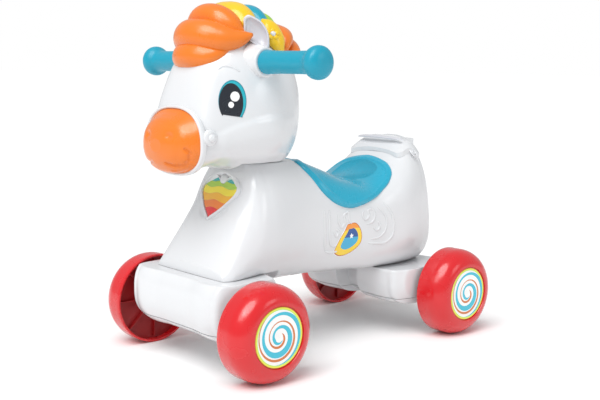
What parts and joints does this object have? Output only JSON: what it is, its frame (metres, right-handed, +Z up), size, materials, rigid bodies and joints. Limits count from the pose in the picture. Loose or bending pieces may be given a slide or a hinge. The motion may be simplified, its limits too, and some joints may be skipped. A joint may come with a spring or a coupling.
{
  "type": "rocking horse",
  "caption": "Ride-on toy horse on free-rolling wheels: hollow white body and head, blue saddle, handlebar grips, press heart on the chest, rainbow mane.",
  "frame": {"origin": "bottom centre of the bounding box, on the floor under the middle of the horse", "axes": "+Z up, the horse faces -Y, +X is the horse's left side, wheel axles along X"},
  "size_m": [0.3962, 0.5425, 0.512],
  "materials": {
    "white_body": "glossy",
    "orange_plastic": "glossy",
    "yellow_plastic": "glossy",
    "teal_plastic": "satin",
    "green_plastic": "glossy",
    "saddle_blue": "glossy",
    "red_wheel": "glossy",
    "dark_red_plate": "satin",
    "printed_label": "printed, glossy",
    "printed_heart": "printed in bands, glossy",
    "steel": "bright drawn",
    "zinc_screw": "zinc plated",
    "inner_plastic": "satin",
    "board_green": "solder mask",
    "black_plastic": "satin"
  },
  "bodies": {
    "body": {"body_shell": "white_body", "front_axle_housing": "white_body", "front_axle_cover": "white_body", "rear_axle_housing": "white_body", "rear_axle_cover": "white_body", "rear_handle": "white_body", "saddle": "saddle_blue", "head_shell": "white_body", "neck_collar": "white_body", "muzzle": "orange_plastic", "noseband": "white_body", "bridle_button_left": "white_body", "bridle_button_right": "white_body", "eye_left": "printed_label", "eye_right": "printed_label", "flank_badge_left": "printed_label", "flank_badge_right": "printed_label", "ear_left": "white_body", "ear_right": "white_body", "forelock": "orange_plastic", "crest_lock": "yellow_plastic", "teal_lock": "teal_plastic", "green_lock": "green_plastic", "rear_mane": "orange_plastic", "handlebar_tube": "steel", "grip_left": "teal_plastic", "grip_right": "teal_plastic", "grip_socket_left": "white_body", "grip_socket_right": "white_body", "heart_bezel": "white_body", "heart_chamber": "inner_plastic", "sound_board": "board_green", "press_switch": "black_plastic", "speaker": "black_plastic", "battery_box": "inner_plastic", "battery_door": "inner_plastic", "batteries": "zinc_screw", "door_screw": "zinc_screw", "switch_body": "black_plastic", "cover_screws": "zinc_screw", "leg_screws": "zinc_screw", "front_axle": "steel", "rear_axle": "steel", "axle_washers": "zinc_screw", "push_nuts": "steel"},
    "heart_button": {"heart_button": "printed_heart"},
    "power_switch": {"power_switch": "black_plastic"},
    "wheel_front_left": {"wheel_front_left_shell": "red_wheel", "wheel_front_left_plate": "dark_red_plate", "wheel_front_left_cap": "printed_label"},
    "wheel_front_right": {"wheel_front_right_shell": "red_wheel", "wheel_front_right_plate": "dark_red_plate", "wheel_front_right_cap": "printed_label"},
    "wheel_rear_left": {"wheel_rear_left_shell": "red_wheel", "wheel_rear_left_plate": "dark_red_plate", "wheel_rear_left_cap": "printed_label"},
    "wheel_rear_right": {"wheel_rear_right_shell": "red_wheel", "wheel_rear_right_plate": "dark_red_plate", "wheel_rear_right_cap": "printed_label"}
  },
  "joints": [
    {"name": "heart_press", "type": "slide", "parent": "body", "child": "heart_button", "axis": [0, 0.8829, -0.4695], "range_m": [0, 0.0025], "stiffness_N_per_m": 400, "springref_m": -0.0005},
    {"name": "power_switch_slide", "type": "slide", "parent": "body", "child": "power_switch", "axis": [1, 0, 0], "range_m": [0, 0.006]},
    {"name": "wheel_front_left_spin", "type": "hinge", "parent": "body", "child": "wheel_front_left", "pos_m": [0, -0.191, 0.068], "axis": [1, 0, 0], "continuous": true},
    {"name": "wheel_front_right_spin", "type": "hinge", "parent": "body", "child": "wheel_front_right", "pos_m": [0, -0.191, 0.068], "axis": [1, 0, 0], "continuous": true},
    {"name": "wheel_rear_left_spin", "type": "hinge", "parent": "body", "child": "wheel_rear_left", "pos_m": [0, 0.203, 0.068], "axis": [1, 0, 0], "continuous": true},
    {"name": "wheel_rear_right_spin", "type": "hinge", "parent": "body", "child": "wheel_rear_right", "pos_m": [0, 0.203, 0.068], "axis": [1, 0, 0], "continuous": true}
  ]
}
